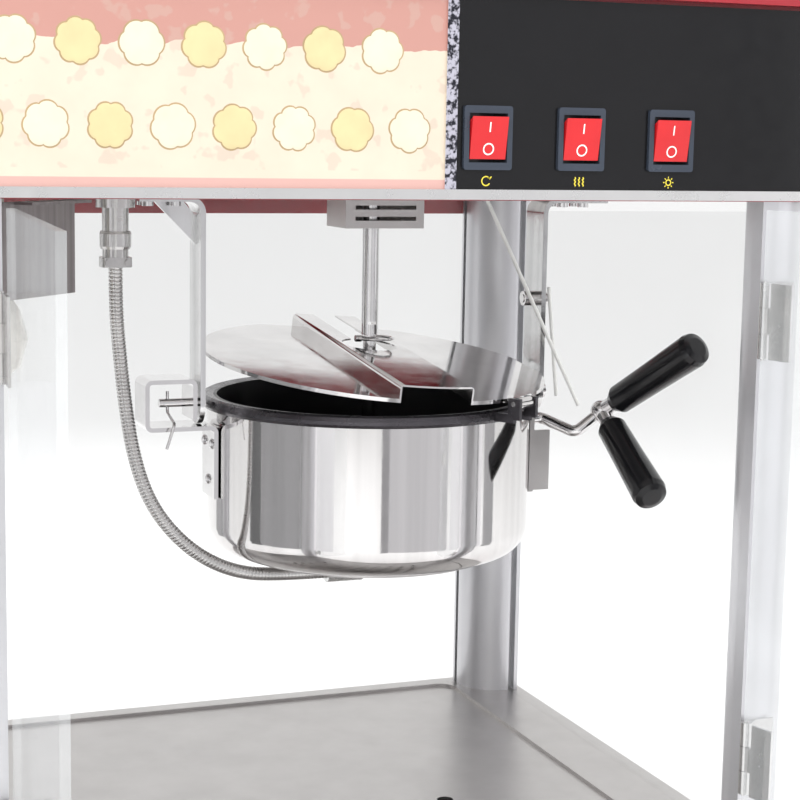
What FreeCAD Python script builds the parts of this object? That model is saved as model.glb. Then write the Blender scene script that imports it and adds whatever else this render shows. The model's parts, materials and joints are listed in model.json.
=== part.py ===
"""Cabinet popcorn maker with a tilting, motor-stirred kettle hung under a lit header.

Units are millimetres. X is across the cabinet, -Y is the operator's side with the doors and
switches, +Y is the customer's side and Z is up. The origin is the centre of the cabinet's
footprint on the table.
"""
import FreeCAD, Part
import math
import os

V = FreeCAD.Vector
X, Y, Z = V(1, 0, 0), V(0, 1, 0), V(0, 0, 1)

# ---------------------------------------------------------------- driving dimensions
CAB_W = 466.0            # cabinet width over the corner posts
CAB_D = 400.0            # cabinet depth over the corner posts
POST = 36.0              # corner post, square over its faces
POST_ROUND = 27.0        # its two rounded corners
SHEET = 1.5              # folded sheet steel
GLASS = 4.0              # panes
SIDE_GLASS_X = (CAB_W / 2 - 7, CAB_W / 2 - 7 + GLASS)
REAR_GLASS_Y = (CAB_D / 2 - 9, CAB_D / 2 - 9 + GLASS)
SLOT_DEPTH = 6.0         # how far a pane enters a post
POST_BORE_R = 10.0
FOOT_H = 22.0
FOOT_INSET = 34.0        # a foot's middle from the base's sides
BASE_W = CAB_W + 8       # the base stands 4 mm proud of the posts all round
BASE_D = CAB_D + 8
BASE_WALL = 2.0
BASE_ROUND = 10.0
DECK_LIP = 4.0           # height of the deck pan over the housing
DECK_HOLE_PITCH = 24
INLET = (150, 60)        # where the mains cord enters the back wall, x and z
CORD_BORE_R = 5
DECK_Z = 140.0           # top of the base, where the popcorn lies
HEADER_Z = 510.0         # lower edge of the header
HEADER_TOP = 610.0
ROOF_TOP = 652.0
ROOF_OVERHANG = 8.0
BRIM_H = 8.0             # upright edge round the roof
SKIRT_Z = 486.5          # lower edge of the header's customer side
CEILING_Z = 505.0        # underside of the ceiling plate behind its step
FRONT_CEILING_Z = HEADER_Z + 6
MOTOR_R = 30.0
GEARBOX = 32.0           # half the gearbox's width, and its height over the ceiling's underside
MOTOR_H = 52.0
DRAWER_HALF = 118.0      # half the crumb drawer's width
DRAWER_Z = (44.0, 104.0)
PANEL_T = 3.0            # sign and control panels
TRIM_H = 5.0             # aluminium strip under the panels
SIGN_EDGE = 15.0         # where the sign ends
CONTROL_EDGE = 21.0      # where the control panel starts

KX = 53.0                # the kettle's centre line across the cabinet
PIVOT_Z = 385.75         # tilt axis
RIM_TOP = 388.0
RIM_R = 101.0
SHELL_R = 97.0
SHELL_Z = 294.0          # underside of the kettle's shell
SHELL_CORNER = 17.0
SHELL_T = 1.0
COVER_T = 2.5            # plate under the shell
PAN_R = 93.0
PAN_Z = 305.0
PAN_T = 2.0

HANGER_T = 3.0
HANGER_HALF = 12.3       # half the hangers' width along Y
CLIP_HALF = 13.0         # half the left clip's width along Y
LEFT_HANGER_X = -51.5    # inner faces of the hangers
RIGHT_HANGER_X = 160.5
PIN_R = 2.5
CROSS_BOLT_Z = 443.0     # bolt through the right hanger
CROSS_BOLT_R = 2.5
FIT = 0.06               # radial clearance of pins and shafts that turn

LID_R = 103.0
LID_CENTRE = (53.9, -3.3)
LID_OPEN = 7.2           # degrees that the lid stands open
LID_HINGE_AZIMUTH = -59.2
LID_HINGE_R = 109.5      # hinge pin's distance from the lid's centre
LID_Z = 393.5            # underside of the closed lid's sheet
LID_T = 1.0
RIB_X = (32.0, 76.0)     # raised rib across the lid
RIB_H = 8.0

ROD_R = 4.0              # stirrer rod
DRIVE_R = 5.0            # drive shaft
JUNCTION_Z = 423.0       # where the drive shaft meets the stirrer rod
RING_Z = 420.6           # ring and its pin, just under the junction
RING_PIN_R = 1.2

DOOR_AXIS_X = 198.5
DOOR_AXIS_Y = -203.5
HINGE_Z = (210.0, 448.0)
HINGE_PIN_R = 1.5
KNUCKLE_R = 3.2
KNUCKLE_HALF = 6.7       # half the middle knuckle's length
LEFT_DOOR_OPEN = 94.5    # degrees open as stored
RIGHT_DOOR_OPEN = 105.0

LAMP = (-186.0, -40.0)   # where the lamp hangs, x and y
CONNECTOR = (-105.0, -18.0)  # where the hose's connector hangs

SWITCH_X = (37.0, 87.6, 138.2)
SWITCH_Z = 540.5
BEZEL = (25.6, 31.0)     # width and height of a switch bezel
SWITCH_BODY = (22.0, 28.0)  # the part of a switch behind the panel
ROCKER = (19.0, 22.6)    # width and height of a rocker
ROCKER_TILT = 9.0

HUB = V(190, -40, 377)   # where the handle's two grips meet
UPPER_TIP = V(213, -112, 423.7)
LOWER_TIP = V(186.6, -112, 337)

CRANK_R = 3.5            # rod from the kettle to the hub
CRANK_BEND = (174, -37, 364)
CRANK_END = (188, -39.5, 375.5)

HOSE_R = 4.0
GLAND_X, GLAND_Y = KX - 22, -20.5  # where the wires go up into the kettle
GLAND_Z = 284.5          # middle line of the gland under the kettle
WIRE_HOLE_R = 4
HOSE_ROUTE = [
    (-105.0, -18.0, 466.0), (-105.0, -18.0, 442.0), (-102.8, -18.3, 416.0),
    (-100.2, -19.0, 389.0), (-96.0, -20.0, 361.0), (-88.5, -21.5, 336.0),
    (-76.0, -23.0, 316.0), (-57.0, -23.5, 298.5), (-33.5, -22.5, 287.5),
    (-7.0, -20.5, 284.5), (20.0, -20.5, 284.5),
]


# ---------------------------------------------------------------- helpers
def save(name, *shapes):
    shape = shapes[0] if len(shapes) == 1 else Part.makeCompound(list(shapes))
    shape.exportStep("parts/%s.step" % name)


def box(x0, x1, y0, y1, z0, z1):
    return Part.makeBox(x1 - x0, y1 - y0, z1 - z0, V(x0, y0, z0))


def rod(start, end, radius):
    start, end = V(*start), V(*end)
    return Part.makeCylinder(radius, (end - start).Length, start, end - start)


def ring(start, end, outer, inner):
    return rod(start, end, outer).cut(rod(start, end, inner))


def turned(profile, x=0.0, y=0.0):
    """A solid of revolution about the vertical line at x, y from (radius, height) points."""
    points = [V(x + r, y, z) for r, z in profile]
    face = Part.Face(Part.makePolygon(points + points[:1]))
    return face.revolve(V(x, y, 0), Z, 360)


def cup(radius, wall, corner, z0, z1, x=0.0, y=0.0):
    """An open pot with a rounded bottom edge."""
    outer = Part.makeCylinder(radius, z1 - z0, V(x, y, z0))
    outer = outer.makeFillet(corner, [e for e in outer.Edges if abs(e.BoundBox.ZMax - z0) < 0.01])
    inner = Part.makeCylinder(radius - wall, z1 - z0, V(x, y, z0 + wall))
    low = [e for e in inner.Edges if abs(e.BoundBox.ZMax - z0 - wall) < 0.01]
    return outer.cut(inner.makeFillet(corner - wall, low))


def bent_path(points, radii):
    """A wire of straight runs joined by tangent arcs."""
    edges = []
    here = points[0]
    for before, corner, after, radius in zip(points, points[1:], points[2:], radii):
        into, out = (corner - before).normalize(), (after - corner).normalize()
        half = into.getAngle(out) / 2
        setback = radius * math.tan(half)
        start, end = corner - into * setback, corner + out * setback
        middle = corner + (out - into).normalize() * (radius / math.cos(half) - radius)
        edges.append(Part.LineSegment(here, start).toShape())
        edges.append(Part.Arc(start, middle, end).toShape())
        here = end
    edges.append(Part.LineSegment(here, points[-1]).toShape())
    return Part.Wire(edges)


def cord_radii(points):
    """For each bend, the largest arc that its two runs allow."""
    radii = []
    for a, b, c in zip(points, points[1:], points[2:]):
        half = (b - a).getAngle(c - b) / 2
        radii.append(0.45 * min((b - a).Length, (c - b).Length) / math.tan(half))
    return radii


def swept(points, radii, profile):
    return bent_path(points, radii).makePipeShell([profile], True, False)


def round_bar(points, bend, radius):
    """A round bar bent with one radius at every corner."""
    points = [V(*p) for p in points]
    circle = Part.Wire([Part.Circle(points[0], points[1] - points[0], radius).toShape()])
    return swept(points, [bend] * (len(points) - 2), circle)


def strip(points, bend, thickness, y0, y1):
    """A flat bar bent in the XZ plane: points give its middle line as (x, z)."""
    line = [V(x, (y0 + y1) / 2, z) for x, z in points]
    along = (line[1] - line[0]).normalize()
    side = along.cross(Y) * (thickness / 2)
    across = Y * ((y1 - y0) / 2)
    start = line[0]
    corners = [start + side + across, start + side - across, start - side - across, start - side + across]
    profile = Part.makePolygon(corners + corners[:1])
    return swept(line, [bend] * (len(line) - 2), profile)


def rounded_box(x0, x1, y0, y1, z0, z1, radius):
    """A box with rounded vertical edges."""
    block = box(x0, x1, y0, y1, z0, z1)
    upright = [e for e in block.Edges if abs(e.BoundBox.ZLength - (z1 - z0)) < 0.01]
    return block.makeFillet(radius, upright)


def turn(shape, centre, axis, degrees):
    copy = shape.copy()
    copy.rotate(centre, axis, degrees)
    return copy


def both_sides(shape):
    """The shape and its mirror image across the cabinet's middle plane."""
    return [shape, shape.mirror(V(0, 0, 0), X)]


# ---------------------------------------------------------------- base and drawer
def make_base():
    half_w, half_d = BASE_W / 2, BASE_D / 2
    low, top = FOOT_H, DECK_Z - DECK_LIP
    in_w, in_d = half_w - BASE_WALL, half_d - BASE_WALL
    outer = rounded_box(-half_w, half_w, -half_d, half_d, low, top, BASE_ROUND)
    inner = rounded_box(-in_w, in_w, -in_d, in_d, low + BASE_WALL, top + 1, BASE_ROUND - BASE_WALL)
    housing = outer.cut(inner)
    gap = 3.5
    drawer_hole = box(-DRAWER_HALF - gap, DRAWER_HALF + gap, -half_d - 5, -half_d + 5,
                      DRAWER_Z[0] - gap, DRAWER_Z[1] + 5.5)
    x, z = INLET
    inlet_hole = rod((x, half_d - 5, z), (x, half_d + 5, z), 8.05)
    save("base_housing", housing.cut(drawer_hole).cut(inlet_hole))

    feet = []
    for sx in (-1, 1):
        for sy in (-1, 1):
            middle = (sx * (half_w - FOOT_INSET), sy * (half_d - FOOT_INSET))
            feet.append(turned([(0, 0), (15, 0), (17, 3), (14, FOOT_H), (0, FOOT_H)], *middle))
    save("rubber_feet", *feet)

    gland = ring((x, half_d, z), (x, half_d + 10, z), 11, CORD_BORE_R)
    neck = ring((x, half_d - 12, z), (x, half_d, z), 8, CORD_BORE_R)
    save("power_inlet", gland.fuse(neck).removeSplitter())

    deck = rounded_box(-half_w, half_w, -half_d, half_d, top, DECK_Z, BASE_ROUND)
    recess = rounded_box(-192, 192, -192, 192, top + 2, DECK_Z + 1, 12)
    deck = deck.cut(recess)
    holes = [rod((x, y, top - 1), (x, y, DECK_Z + 1), 5)
             for x in range(-96, 97, DECK_HOLE_PITCH) for y in range(-150, -29, DECK_HOLE_PITCH)]
    save("deck_pan", deck.cut(Part.makeCompound(holes)))

    loop = [(-150, 60, 126), (-150, 150, 126), (150, 150, 126), (150, 20, 126)]
    save("deck_heater", round_bar(loop, 20, 4))


def make_drawer():
    x, (z0, z1) = DRAWER_HALF, DRAWER_Z
    y0, y1 = -206.0, 30.0
    hollow = box(-x + SHEET, x - SHEET, y0 + SHEET, y1 - SHEET, z0 + SHEET, z1 + 1)
    tray = box(-x, x, y0, y1, z0, z1).cut(hollow)
    front = box(-130, 130, y0 - 2, y0, 34, 116)
    save("crumb_drawer", tray.fuse(front).removeSplitter())
    knob = turn(turned([(0, 0), (6, 0), (6, 6), (11, 10), (11, 15), (8, 18), (0, 18)]), V(0, 0, 0), X, 90)
    knob.translate(V(0, y0 - 2, 76))
    save("drawer_knob", knob)


# ---------------------------------------------------------------- cabinet
def upright_edges(block, corners):
    """The block's edges that stand on the given (x, y) corners."""
    return [e for e in block.Edges for x, y in corners
            if e.BoundBox.ZLength > 1 and V(e.Vertexes[0].X - x, e.Vertexes[0].Y - y, 0).Length < 0.01]


def make_posts():
    low, high = DECK_Z, HEADER_Z
    inner, outer = CAB_W / 2 - POST, CAB_W / 2
    front, back = -CAB_D / 2, CAB_D / 2
    for end, y0, y1 in (("front", front, front + POST), ("rear", back - POST - 2, back - 2)):
        block = box(inner, outer, y0, y1, low, high)
        far, near = (y0, y1) if end == "front" else (y1, y0)
        block = block.makeFillet(POST_ROUND, upright_edges(block, [(outer, far), (inner, near)]))
        middle_x, middle_y = (inner + outer) / 2, (y0 + y1) / 2
        block = block.cut(rod((middle_x, middle_y, low - 1), (middle_x, middle_y, high + 1), POST_BORE_R))
        step = SLOT_DEPTH if end == "front" else -SLOT_DEPTH
        slot_y = sorted((near, near - step))
        block = block.cut(box(SIDE_GLASS_X[0] - 0.2, SIDE_GLASS_X[1] + 0.2, slot_y[0], slot_y[1], low, high))
        if end == "rear":
            pane_y = (REAR_GLASS_Y[0] - 0.2, REAR_GLASS_Y[1] + 0.2)
            block = block.cut(box(inner, inner + SLOT_DEPTH, pane_y[0], pane_y[1], low, high))
        right, left = both_sides(block)
        save(end + "_right_post", right)
        save(end + "_left_post", left)


def make_glass():
    y0 = -CAB_D / 2 + POST - SLOT_DEPTH + 0.5
    y1 = CAB_D / 2 - 2 - POST + SLOT_DEPTH - 0.5
    pane = box(SIDE_GLASS_X[0], SIDE_GLASS_X[1], y0, y1, DECK_Z, HEADER_Z)
    save("side_glasses", *both_sides(pane))
    x = CAB_W / 2 - POST + SLOT_DEPTH - 0.5
    save("customer_glass", box(-x, x, REAR_GLASS_Y[0], REAR_GLASS_Y[1], DECK_Z, SKIRT_Z + 10))


def make_header():
    w, d = CAB_W / 2, CAB_D / 2
    sw, sh = SWITCH_BODY[0] / 2, SWITCH_BODY[1] / 2
    frame = box(-w, w, -d, d, HEADER_Z, HEADER_TOP)
    frame = frame.cut(box(-w + SHEET, w - SHEET, -d + SHEET, d - SHEET, HEADER_Z - 1, HEADER_TOP + 1))
    skirt = box(-w, w, d - SHEET, d, SKIRT_Z, HEADER_Z)
    for x in SWITCH_X:
        frame = frame.cut(box(x - sw, x + sw, -d - 1, -d + 3, SWITCH_Z - sh, SWITCH_Z + sh))
    save("header_frame", frame.fuse(skirt).removeSplitter())

    proud = PANEL_T + 1.5
    trim = box(-w - 1, w + 1, -d - proud, d + proud, HEADER_Z + 0.5, HEADER_Z + 0.5 + TRIM_H)
    trim = trim.cut(box(-w, w, -d, d, HEADER_Z, HEADER_Z + 10))
    save("header_trim", trim)

    low, high = HEADER_Z + 0.5 + TRIM_H, HEADER_TOP - 2
    sign = box(-w + 1, SIGN_EDGE, -d - PANEL_T, -d, low, high)
    divider = box(SIGN_EDGE, CONTROL_EDGE, -d - PANEL_T - 0.8, -d, low, high)
    customer = box(-w + 1, w - 1, d, d + PANEL_T, low, high)
    save("sign_panels", sign, divider, customer)

    control = box(CONTROL_EDGE, w - 1, -d - PANEL_T, -d, low, high)
    for x in SWITCH_X:
        control = control.cut(box(x - sw, x + sw, -d - PANEL_T - 1, -d + 1, SWITCH_Z - sh, SWITCH_Z + sh))
    save("control_panel", control)


def make_switches():
    face = -CAB_D / 2 - PANEL_T
    bezels = []
    bw, bh = BEZEL[0] / 2, BEZEL[1] / 2
    sw, sh = SWITCH_BODY[0] / 2, SWITCH_BODY[1] / 2
    rw, rh = ROCKER[0] / 2, ROCKER[1] / 2
    flange_t = 2.2
    for name, x in zip(("turn", "heat", "light"), SWITCH_X):
        flange = box(x - bw, x + bw, face - flange_t, face, SWITCH_Z - bh, SWITCH_Z + bh)
        upright = [e for e in flange.Edges if abs(e.BoundBox.YLength - flange_t) < 0.01]
        flange = flange.makeFillet(1.5, upright)
        body = box(x - sw, x + sw, face, face + 22, SWITCH_Z - sh, SWITCH_Z + sh)
        hollow = box(x - rw - 0.6, x + rw + 0.6, face - 3, face + 15,
                     SWITCH_Z - rh - 0.6, SWITCH_Z + rh + 0.6)
        bezels.append(flange.fuse(body).cut(hollow).removeSplitter())
        slope = math.tan(math.radians(ROCKER_TILT)) * rh
        y = face - 3.2
        outline = [V(x - rw, y - slope, SWITCH_Z + rh - 1), V(x - rw, y, SWITCH_Z),
                   V(x - rw, y + slope, SWITCH_Z - rh + 1), V(x - rw, face + 6, SWITCH_Z - 4),
                   V(x - rw, face + 6, SWITCH_Z + 4)]
        rocker = Part.Face(Part.makePolygon(outline + outline[:1])).extrude(X * ROCKER[0])
        save("rocker_" + name, rocker)
    save("switch_bezels", *bezels)


def make_roof():
    w, d = CAB_W / 2 + ROOF_OVERHANG, CAB_D / 2 + ROOF_OVERHANG
    inset, z0, z1 = 34.0, HEADER_TOP, ROOF_TOP

    def pyramid(shrink, drop):
        signs = ((-1, -1), (1, -1), (1, 1), (-1, 1))
        low = [V(sx * (w - shrink), sy * (d - shrink), z0 + BRIM_H - drop) for sx, sy in signs]
        high = [V(p.x * (1 - inset / w), p.y * (1 - inset / d), z1 - shrink) for p in low]
        wires = [Part.makePolygon(c + c[:1]) for c in (low, high)]
        return Part.makeLoft(wires, True, True)

    brim = box(-w, w, -d, d, z0, z0 + BRIM_H)
    shell = brim.fuse(pyramid(0, 0))
    hollow = box(-w + SHEET, w - SHEET, -d + SHEET, d - SHEET, z0 - 1, z0 + BRIM_H)
    hollow = hollow.fuse(pyramid(SHEET, 0.01))
    ledge = box(-w, w, -d, d, z0, z0 + SHEET)
    ledge = ledge.cut(box(-w + 40, w - 40, -d + 40, d - 40, z0 - 1, z0 + 5))
    save("roof", shell.cut(hollow).fuse(ledge).removeSplitter())


# ---------------------------------------------------------------- header's works
def make_ceiling():
    w, d = CAB_W / 2 - SHEET, CAB_D / 2 - SHEET
    step_y = -60.0
    front = box(-w, w, -d, step_y + SHEET, FRONT_CEILING_Z, FRONT_CEILING_Z + SHEET)
    riser = box(-w + POST, w - POST, step_y, step_y + SHEET, CEILING_Z, FRONT_CEILING_Z + SHEET)
    back = box(-w + POST, w - POST, step_y, d - 12, CEILING_Z, CEILING_Z + SHEET)
    plate = front.fuse([riser, back]).removeSplitter()
    for x, y, radius in ((KX, 0, DRIVE_R + 3), (CONNECTOR[0], CONNECTOR[1], 6), (LAMP[0], LAMP[1], 14)):
        plate = plate.cut(rod((x, y, CEILING_Z - 5), (x, y, CEILING_Z + 5), radius))
    save("ceiling_plate", plate)

    low, base = 487.0, CEILING_Z
    x0, x1, y0, y1 = 31.0, 80.0, -17.0, 17.0
    bracket = box(x0, x1, y0, y1, low, base)
    bracket = bracket.cut(box(x0 + SHEET, x1 - SHEET, y0 + SHEET, y1 - SHEET, low + SHEET, base + 1))
    bracket = bracket.cut(rod((KX, 0, low - 1), (KX, 0, low + 5), DRIVE_R + 1.5))
    for z in (491.5, 498.0):
        bracket = bracket.cut(box(x0 + 6, x1 - 5, y0 - 1, y0 + 5, z, z + 2.4))
    save("motor_bracket", bracket)

    gearbox = box(KX - GEARBOX, KX + GEARBOX, -GEARBOX, GEARBOX, CEILING_Z + SHEET, CEILING_Z + GEARBOX)
    motor = rod((KX, 0, CEILING_Z + GEARBOX), (KX, 0, CEILING_Z + GEARBOX + MOTOR_H), MOTOR_R)
    boss = ring((KX, 0, CEILING_Z - 3), (KX, 0, CEILING_Z + SHEET), 7.5, DRIVE_R + FIT)
    bore = rod((KX, 0, CEILING_Z - 4), (KX, 0, CEILING_Z + 14), DRIVE_R + FIT)
    save("gear_motor", gearbox.fuse([motor, boss]).cut(bore).removeSplitter())


def make_lamp():
    x, y = LAMP
    socket = turned([(0, 472), (14, 472), (16, 476), (16, CEILING_Z), (13.5, CEILING_Z),
                     (13.5, CEILING_Z + 12), (0, CEILING_Z + 12)], x, y)
    socket = socket.cut(rod((x, y, 471), (x, y, 490), 11.2))
    save("lamp_socket", socket)
    bulb = turned([(0, 486), (11, 486), (11, 470), (14, 462), (24, 445), (28, 430), (24, 415), (12, 405),
                   (0, 402.5)], x, y)
    save("lamp_bulb", bulb)
    # the shield stands diagonally across the operator's corner, in front of the bulb
    a, b = V(-138.0, -63.0, 0), V(-208.0, -136.0, 0)
    along = (b - a).normalize()
    across = V(-along.y, along.x, 0) * SHEET
    low = a + Z * 456
    face = Part.Face(Part.makePolygon([low, low + (b - a), low + (b - a) + across, low + across, low]))
    plate = face.extrude(Z * (CEILING_Z - 456))
    flange_low = a + Z * (CEILING_Z - SHEET)
    corners = [flange_low, flange_low + across * 8, flange_low + across * 8 + along * 55,
               flange_low + along * 55]
    flange = Part.Face(Part.makePolygon(corners + corners[:1])).extrude(Z * SHEET)
    save("lamp_shield", plate.fuse(flange).removeSplitter())


def make_hangers():
    t, w = HANGER_T, HANGER_HALF
    top = CEILING_Z - t / 2
    xl = LEFT_HANGER_X - t / 2
    left = strip([(-90, top), (xl, top), (xl, PIVOT_Z)], 8, t, -w, w)
    left = left.fuse(rod((xl - t / 2, 0, PIVOT_Z), (xl + t / 2, 0, PIVOT_Z), w))
    hole = rod((xl - 9, 0, PIVOT_Z), (xl + 9, 0, PIVOT_Z), PIN_R + FIT)
    corners = [V(xl - t / 2, -1.5, CEILING_Z - 28), V(xl - 26, -1.5, CEILING_Z - t),
               V(xl - 9, -1.5, CEILING_Z - t), V(xl - t / 2, -1.5, CEILING_Z - 12)]
    gusset = Part.Face(Part.makePolygon(corners + corners[:1])).extrude(Y * 3)
    save("left_hanger", left.cut(hole).fuse(gusset).removeSplitter())
    xr = RIGHT_HANGER_X + t / 2
    right = strip([(xr + 42, top), (xr, top), (xr, PIVOT_Z)], 8, t, -w, w)
    right = right.fuse(rod((xr - t / 2, 0, PIVOT_Z), (xr + t / 2, 0, PIVOT_Z), w))
    hole = rod((xr - 9, 0, PIVOT_Z), (xr + 9, 0, PIVOT_Z), PIN_R + FIT)
    cross = rod((xr - 9, 0, CROSS_BOLT_Z), (xr + 9, 0, CROSS_BOLT_Z), CROSS_BOLT_R)
    save("right_hanger", right.cut(hole).cut(cross).removeSplitter())

    bolts = []
    for x in (-84, -68, 176, 190):
        for y in (-6, 6):
            bolts.append(Part.makeCylinder(3.4, 2.6, V(x, y, CEILING_Z - t - 2.6)))
    z = CROSS_BOLT_Z
    stem = rod((xr - 9, 0, z), (xr + 9, 0, z), CROSS_BOLT_R)
    nut = rod((xr + t / 2, 0, z), (xr + t / 2 + 4.6, 0, z), 5)
    head = rod((xr - t / 2 - 7, 0, z), (xr - t / 2, 0, z), 4.5)
    bolts.append(stem.fuse([nut, head]).removeSplitter())
    save("hanger_bolts", *bolts)

    stay = rod((120.2, -17, CEILING_Z - 0.6), (185.3, -17, 377.7), 1.2)
    slim = rod((169.4, -3.75, 450), (176.6, -3.75, 382), 1.2)
    save("stay_rods", stay, slim)


def make_drive():
    tube = rod((KX, 0, JUNCTION_Z), (KX, 0, CEILING_Z + 12), DRIVE_R)
    slot = box(KX - 2.5, KX + 2.5, -DRIVE_R - 1, DRIVE_R + 1, JUNCTION_Z - 1, JUNCTION_Z + 8)
    save("drive_shaft", tube.cut(slot))
    shoulder = JUNCTION_Z - 1.0
    low = PAN_Z + PAN_T + 1
    stem = rod((KX, 0, low + 1), (KX, 0, shoulder), ROD_R)
    tang = box(KX - 2.2, KX + 2.2, -ROD_R, ROD_R, shoulder, JUNCTION_Z + 6).common(
        rod((KX, 0, shoulder), (KX, 0, JUNCTION_Z + 6), ROD_R))
    hub = rod((KX, 0, low), (KX, 0, low + 11), 8)
    arms = []
    for i in range(2):
        arm = box(KX, KX + 80, -2.5, 2.5, low, low + 6)
        arm = arm.fuse(box(KX + 40, KX + 76, -2.5, 8, low, low + 2.5))
        arms.append(turn(arm, V(KX, 0, 0), Z, 35 + 180 * i))
    pin_hole = rod((KX - 9, 0, RING_Z), (KX + 9, 0, RING_Z), RING_PIN_R)
    save("stirrer", stem.fuse([tang, hub] + arms).cut(pin_hole).removeSplitter())
    loop = Part.makeTorus(11.0, 0.8, V(KX + 3.4, 0, RING_Z), Z)
    pin = rod((KX - 9.0, 0, RING_Z), (KX + 5.5, 0, RING_Z), RING_PIN_R)
    head = rod((KX - 9.0, 0, RING_Z), (KX - 5.4, 0, RING_Z), 2.0)
    save("ring_pin", loop.fuse([pin, head]).removeSplitter())


# ---------------------------------------------------------------- kettle
def make_kettle():
    wire_hole = rod((GLAND_X, GLAND_Y, SHELL_Z - 4), (GLAND_X, GLAND_Y, SHELL_Z + 5), WIRE_HOLE_R)
    shell = cup(SHELL_R, SHELL_T, SHELL_CORNER, SHELL_Z, RIM_TOP - 7, KX)
    save("kettle_shell", shell.cut(wire_hole))
    save("kettle_pan", cup(PAN_R, PAN_T, 10, PAN_Z, RIM_TOP - 1, KX))
    bead = [(PAN_R, RIM_TOP - 1), (PAN_R, RIM_TOP - 7), (RIM_R - 1.5, RIM_TOP - 7),
            (RIM_R - 0.2, RIM_TOP - 5.2), (RIM_R, RIM_TOP - 3.2), (RIM_R - 0.9, RIM_TOP - 1),
            (RIM_R - 3, RIM_TOP), (PAN_R + 3, RIM_TOP - 0.4)]
    rim = turned(bead, KX)
    axis_point, axis = lid_hinge()
    for side in (-1, 1):
        lug = Part.makeBox(2.5, 8, 12, V(-1.25, -4, -9))
        foot = Part.makeBox(2.5, 15, 5, V(-1.25, 0, -11))
        ear = lug.fuse(foot)
        ear.rotate(V(0, 0, 0), Z, LID_HINGE_AZIMUTH + 90)
        ear.translate(axis_point + axis * (side * 8.0))
        rim = rim.fuse(ear)
    rim = rim.cut(Part.makeCylinder(1.5 + FIT, 30, axis_point - axis * 15, axis))
    save("kettle_rim", rim.removeSplitter())

    element = Part.makeTorus(66, 4.5, V(KX, 0, PAN_Z - 4.7), Z)
    save("heater_ring", element)
    floor = SHELL_Z + SHELL_T
    sensor = [(0, floor), (9, floor), (9, floor + 8), (5, floor + 8), (5, PAN_Z - 0.2), (0, PAN_Z - 0.2)]
    save("thermostat", turned(sensor, KX + 28, 22))
    cover = Part.makeCylinder(76, COVER_T, V(KX, 0, SHELL_Z - COVER_T))
    save("kettle_base_cover", cover.cut(wire_hole))
    body = rod(HOSE_ROUTE[-1], (42, GLAND_Y, GLAND_Z), 6.5)
    neck = rod((GLAND_X, GLAND_Y, GLAND_Z), (GLAND_X, GLAND_Y, SHELL_Z + 4), WIRE_HOLE_R)
    collar = rod((GLAND_X, GLAND_Y, GLAND_Z), (GLAND_X, GLAND_Y, SHELL_Z - COVER_T), 7)
    save("hose_gland", body.fuse([collar, neck]).removeSplitter())


def lid_hinge():
    """A point on the lid's hinge axis and the axis's direction."""
    angle = math.radians(LID_HINGE_AZIMUTH)
    out = V(math.cos(angle), math.sin(angle), 0)
    return V(LID_CENTRE[0], LID_CENTRE[1], LID_Z - 0.5) + out * LID_HINGE_R, V(-out.y, out.x, 0)


def make_lid():
    cx, cy = LID_CENTRE
    disc = Part.makeCylinder(LID_R, LID_T, V(cx, cy, LID_Z))
    lip = ring((cx, cy, LID_Z - 1.2), (cx, cy, LID_Z), LID_R, LID_R - LID_T)
    x0, x1 = RIB_X
    rib = box(x0, x1, cy - LID_R, cy + LID_R, LID_Z, LID_Z + RIB_H + LID_T)
    tunnel = box(x0 + LID_T, x1 - LID_T, cy - LID_R - 1, cy + LID_R + 1, LID_Z - 5, LID_Z + RIB_H)
    upright = [e for e in rib.Edges if e.BoundBox.YLength > LID_R and e.BoundBox.ZMin > LID_Z + 1]
    rib = rib.makeFillet(2.5, upright)
    rib = rib.common(Part.makeCylinder(LID_R, 40, V(cx, cy, LID_Z - 10)))
    lid = disc.fuse([lip, rib]).cut(tunnel)
    shaft_slot = box(KX - 7.5, KX + 7.5, -9.0, cy + LID_R + 1, LID_Z - 5, LID_Z + 20)
    lid = lid.cut(shaft_slot)
    trimmed = box(LEFT_HANGER_X + 2.5, RIGHT_HANGER_X - 2.5, cy - LID_R - 5, 90.0, LID_Z - 10, LID_Z + 20)
    lid = lid.common(trimmed)
    bracket_notch = box(RIGHT_HANGER_X - 6, RIGHT_HANGER_X, -13.5, 13.5, LID_Z - 10, LID_Z + 20)
    lid = lid.cut(bracket_notch)
    point, axis = lid_hinge()
    knuckle = Part.makeCylinder(3.2, 12, point - axis * 6, axis)
    arm = Part.makeBox(12, 9, LID_T, V(-6, 0, 0))
    arm.rotate(V(0, 0, 0), Z, LID_HINGE_AZIMUTH + 90)
    arm.translate(point + Z * 0.5)
    lid = lid.fuse([knuckle, arm])
    pin = Part.makeCylinder(1.5, 20, point - axis * 10, axis)
    lid = turn(lid.fuse(pin).removeSplitter(), point, axis, LID_OPEN)
    ring_clearance = rod((KX, 0, LID_Z), (KX, 0, LID_Z + 60), 16.6)
    save("kettle_lid", lid.cut(ring_clearance))


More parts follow.
